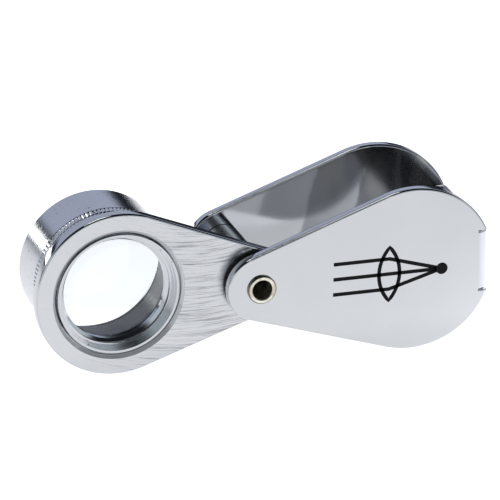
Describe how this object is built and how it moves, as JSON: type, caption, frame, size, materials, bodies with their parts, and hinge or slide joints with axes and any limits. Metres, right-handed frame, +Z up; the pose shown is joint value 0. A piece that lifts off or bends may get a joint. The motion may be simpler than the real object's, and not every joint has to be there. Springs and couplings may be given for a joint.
{
  "type": "folding pocket loupe",
  "caption": "Folding pocket magnifier: a doublet lens in a turned barrel on a teardrop plate that swings on a hollow rivet out of a chromed bent-sheet case.",
  "frame": {"origin": "under the middle of the open loupe, on the surface that it stands on edge on", "axes": "+X from the lens to the case's bridge, +Y from the front cheek to the rear cheek, +Z up"},
  "size_m": [0.0606, 0.0186, 0.0222],
  "materials": {
    "polished_chrome": "mirror-polished chrome plate",
    "brushed_chrome": "brushed in long shallow arcs",
    "turned_chrome": "turned and plated",
    "rivet_brass": "plated rim, bare bore",
    "spring_steel": "satin",
    "washer_fibre": "matt",
    "blackened_metal": "matt black, to stop stray light",
    "lens_glass": "clear polished glass"
  },
  "bodies": {
    "case": {"case": "polished_chrome", "pivot_rivet": "rivet_brass", "spacer_sleeve": "turned_chrome", "friction_washer": "washer_fibre", "spring_washer": "spring_steel"},
    "lens_holder": {"lens_plate": "brushed_chrome", "lens_barrel": "turned_chrome", "retaining_ring": "turned_chrome", "front_lens": "lens_glass", "lens_spacer": "blackened_metal", "rear_lens": "lens_glass"}
  },
  "joints": [
    {"name": "lens_swing", "type": "hinge", "parent": "case", "child": "lens_holder", "pos_m": [-0.00089, 0, 0.01062], "axis": [0, 1, 0], "continuous": true}
  ]
}
